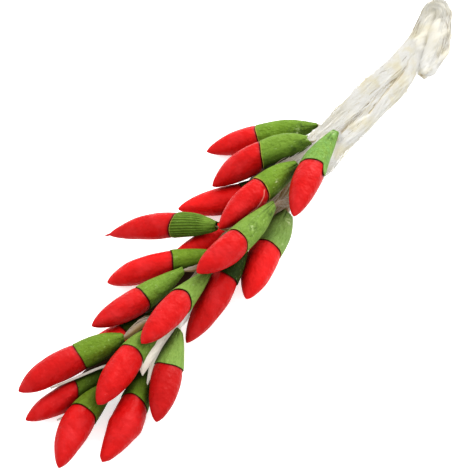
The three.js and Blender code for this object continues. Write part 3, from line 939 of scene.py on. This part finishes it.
def cotton(tree):
    """Cotton string, three yarns twisted together: off-white and matt, with painted shade in tan down in
    the grooves.
    """
    coats = Coats(tree, settings().bunch_colours.cotton, "fibre")
    # fibres are 0.02 mm thick; drawn at about 0.15 mm across and 2.5 mm along so that they show,
    # over yarns 0.4 mm across
    tufts = coats.noise(1.0, 5.0, 0.75, (7.5, 0.6, 7.5))
    yarns = coats.noise(1.0, 3.0, 0.65, (2.6, 0.22, 2.6))
    coats.ground(yarns, (0.92, 0.9, 0.86), (1.08, 1.09, 1.12))
    coats.add((1.15, 1.17, 1.22), tufts, 0.45, 0.75, 0.5)
    coats.add((0.76, 0.72, 0.6), tufts, 0.5, 0.25, 0.7)
    # handling has left the cotton yellower in patches of some millimetres
    where = node(tree, "ShaderNodeTexCoord").outputs["Object"]
    coats.add((0.94, 0.88, 0.68), noise(tree, where, 400.0, 3.0), 0.48, 0.66, 0.8)
    coats.add((0.78, 0.74, 0.62), coats.mark("handled"))
    # painted shade: tan and brown down in the grooves between strings
    coats.add("c9b88a", coats.mark("groove"), 0.1, 0.6, 0.6)
    coats.add("7c6a42", coats.mark("groove"), 0.5, 1.0, 0.7)
    # painted shade: brown between the caps and near black at its strongest; painted light: lighter at the
    # low end
    coats.add("e3ddd0", coats.mark("dust"), 0.0, -1.0)
    coats.add("785a28", coats.mark("dust"), 0.0, 1.0, 0.85)
    coats.add("301a12", coats.mark("dust"), 1.2, 2.2, 0.95)
    # painted light: the cotton glows in its own colour, and its base colour is darkened to make up
    surface(tree, {"Roughness": 1.0, "IOR": 1.5, "Specular IOR Level": 0.05, "Sheen Weight": 0.4,
                   "Sheen Roughness": 0.4, "Emission Strength": COTTON_GLOW}, {
        "Base Color": blend(tree, None, coats.colour, (0, 0, 0), 0.35), "Emission Color": coats.colour,
        "Normal": bumped(tree, (yarns, 0.1), (tufts, 0.08))})


def white_paper(tree):
    """Matt white paper on a light table, so that shadows on it stay faint: plain, with a faint tooth."""
    where = node(tree, "ShaderNodeTexCoord").outputs["Object"]
    tint = blend(tree, noise(tree, where, 900.0, 2.0, 0.5), srgb("f4f4f4"), srgb("fafafa"))
    surface(tree, {"Roughness": 0.95, "Specular IOR Level": 0.1, "Emission Strength": FLOOR_LIT},
            {"Base Color": tint, "Emission Color": tint})


MATERIALS = {
    "red_clay": ("air_dry_clay_red_hand_rolled", red_clay),
    "green_clay": ("air_dry_clay_green_pinched", green_clay),
    "cotton": ("cotton_string_three_ply", cotton),
    "paper": ("paper_white_matt", white_paper),
}


def material_of(slot):
    """A slot's material, built the first time that it is asked for."""
    name, build = MATERIALS[slot]
    material = bpy.data.materials.get(name)
    if material is None:
        material = bpy.data.materials.new(name)
        material.use_nodes = True
        material.node_tree.nodes.clear()
        build(material.node_tree)
    return material


# ---------------------------------------------------------------- operators
def add_object(name, data):
    made = bpy.data.objects.new(name, data)
    bpy.context.scene.collection.objects.link(made)
    return made


def add_piece(mesh, slot, *nodes):
    """Adds a mesh as a piece that rides on the one body and stands for the CAD nodes it replaces."""
    piece = add_object(mesh.name, mesh)
    mesh.materials.append(material_of(slot))
    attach(piece, "root")
    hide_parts(*nodes)


def add_cotton(mesh):
    add_piece(mesh, "cotton", "strings")


def add_route(name, route, step, seed, sides, dust):
    """Adds loose cotton along a route of points with their radii."""
    path = even_path(route, step)
    add_cotton(string_mesh(name, path[:, :3], path[:, 3], seed, None, sides, dust))


class CHILLI_OT_bodies(bpy.types.Operator):
    """Build the red clay bodies"""
    bl_idname = "chillies.bodies"
    bl_label = "Bodies"

    def execute(self, context):
        for name, chilli in CHILLIES.items():
            add_piece(body_mesh(name, chilli), "red_clay", f"chilli_{name}_body")
        return {"FINISHED"}


class CHILLI_OT_caps(bpy.types.Operator):
    """Build the green clay caps"""
    bl_idname = "chillies.caps"
    bl_label = "Caps"

    def execute(self, context):
        for name, chilli in CHILLIES.items():
            add_piece(cap_mesh(name, chilli), "green_clay", f"chilli_{name}_cap")
        return {"FINISHED"}


class CHILLI_OT_strings(bpy.types.Operator):
    """Build the cotton strings, from each cap into the bundle and its knot"""
    bl_idname = "chillies.strings"
    bl_label = "Strings"

    def execute(self, context):
        jobs = []
        for name, path, radii, axis in string_jobs():
            dusty, seed = CHILLIES[name].get("dusty", 0), seed_of("string" + name)
            add_cotton(string_mesh(f"string_{name}", path, radii, seed, axis, dust=dusty))
            jobs.append((path, radii, axis, dusty))
        for name, points in LOOSE_ENDS.items():
            path = even_path(points, 0.2)
            radii = np.linspace(0.18, 0.1, len(path))
            # the loose ends carry some painted shade
            add_cotton(string_mesh(name, path, radii, seed_of(name), dust=0.35))
        centre = centre_line()
        frames = carried_frames(centre[:, :3])
        names = ("cotton_large_group", "cotton_small_group")
        for name, (middle, radius, _, _) in zip(names, BUNDLE_GROUPS):
            path, radii = group_core(middle, radius, centre, frames)
            valley, _ = group_core(VALLEY, radius, centre, frames)
            add_cotton(string_mesh(name, path, radii, seed_of(name), valley, 48, hidden=(-0.85, -0.35)))
        start = int(np.searchsorted(centre[:RISING_POINTS, 0], KNOT_FULL))
        line, radii = centre[start:-2, :3], centre[start:-2, 3] * 0.97
        radii[:5] *= (0.2, 0.5, 0.7, 0.85, 0.95)
        radii[-3:] *= (0.95, 0.8, 0.4)
        add_cotton(string_mesh("cotton_knot", line, radii, 7, None, 64))
        # painted shade: the pad is painted near black
        add_route("painted_shade_pad", SHADE_PAD_ROUTE, 0.25, 5, 32, 3)
        # painted light: the tufts are made fully light
        for name, route in TUFT_ROUTES.items():
            add_route(name, route, 0.2, seed_of(name), 24, -1)
        for half in ("upper", "lower"):
            add_cotton(fibres_mesh(f"loose_fibres_{half}", jobs, settings().string_sizes.fibres))
        return {"FINISHED"}


class CHILLI_OT_stage(bpy.types.Operator):
    """Add the floor, the soft light and the camera"""
    bl_idname = "chillies.stage"
    bl_label = "Stage"

    def execute(self, context):
        scene = context.scene
        corners = [(x * FLOOR_HALF, y * FLOOR_HALF, 0.0) for x, y in ((-1, -1), (1, -1), (1, 1), (-1, 1))]
        mesh = bpy.data.meshes.new("floor")
        mesh.from_pydata(corners, [], [(0, 1, 2, 3)])
        mesh.materials.append(material_of("paper"))
        floor = add_object("floor", mesh)
        floor.visible_diffuse = False

        world = bpy.data.worlds.new("soft_white_room")
        world.use_nodes = True
        tree = world.node_tree
        background = tree.nodes["Background"]
        background.inputs["Color"].default_value = (1, 1, 1, 1)
        sky = node(tree, "ShaderNodeTexCoord").outputs["Generated"]
        height = node(tree, "ShaderNodeSeparateXYZ", None, None, {"Vector": sky}).outputs["Z"]
        strength = remap(tree, height, -0.3, 0.4, FLOOR_GLOW, SKY_STRENGTH)
        tree.links.new(strength, background.inputs["Strength"])
        scene.world = world

        toward = Vector(KEY_DIRECTION).normalized()
        lamp = bpy.data.lights.new("softbox", "AREA")
        lamp.shape = "SQUARE"
        lamp.size = KEY_SIZE
        lamp.energy = KEY_WATTS
        lamp.color = KEY_COLOUR
        softbox = add_object("softbox", lamp)
        softbox.location = toward * KEY_DISTANCE
        softbox.rotation_euler = toward.to_track_quat("Z", "Y").to_euler()

        azimuth, elevation = math.radians(CAMERA_AZIMUTH), math.radians(CAMERA_ELEVATION)
        back = Vector((math.sin(azimuth) * math.cos(elevation),
                       -math.cos(azimuth) * math.cos(elevation), math.sin(elevation)))
        data = bpy.data.cameras.new("camera")
        data.sensor_width = CAMERA_SENSOR
        data.lens = data.sensor_width * CAMERA_DISTANCE / CAMERA_FIELD
        data.clip_start, data.clip_end = 0.01, 20.0
        camera = add_object("camera", data)
        aim = Vector((LAYOUT_ORIGIN + np.array([0, 0, AIM_HEIGHT])) * MM)
        camera.location = aim + back * CAMERA_DISTANCE
        camera.rotation_mode = "QUATERNION"
        camera.rotation_quaternion = back.to_track_quat("Z", "Y")
        scene.camera = camera
        scene.view_settings.view_transform = "Standard"
        scene.view_settings.look = "Medium High Contrast"
        return {"FINISHED"}


class CHILLI_PT_panel(bpy.types.Panel):
    bl_label = "Chillies"
    bl_idname = "CHILLI_PT_panel"
    bl_space_type = "VIEW_3D"
    bl_region_type = "UI"
    bl_category = "Chillies"

    def draw(self, context):
        layout = self.layout
        for group in ("chilli_sizes", "string_sizes", "bunch_colours"):
            box = layout.box()
            values = getattr(context.scene, group)
            for key in values.bl_rna.properties.keys():
                if key not in ("rna_type", "name"):
                    box.prop(values, key)
        for operator in OPERATORS:
            layout.operator(operator.bl_idname)


GROUPS = {"chilli_sizes": ChilliSizes, "string_sizes": StringSizes, "bunch_colours": BunchColours}
OPERATORS = (CHILLI_OT_bodies, CHILLI_OT_caps, CHILLI_OT_strings, CHILLI_OT_stage)


def register():
    for item in (*GROUPS.values(), *OPERATORS, CHILLI_PT_panel):
        bpy.utils.register_class(item)
    for name, group in GROUPS.items():
        setattr(bpy.types.Scene, name, PointerProperty(type=group))


def unregister():
    for name in GROUPS:
        delattr(bpy.types.Scene, name)
    for item in reversed((*GROUPS.values(), *OPERATORS, CHILLI_PT_panel)):
        bpy.utils.unregister_class(item)


def main():
    register()
    bpy.ops.chillies.bodies()
    bpy.ops.chillies.caps()
    bpy.ops.chillies.strings()
    bpy.ops.chillies.stage()


if __name__ == "__main__":
    main()
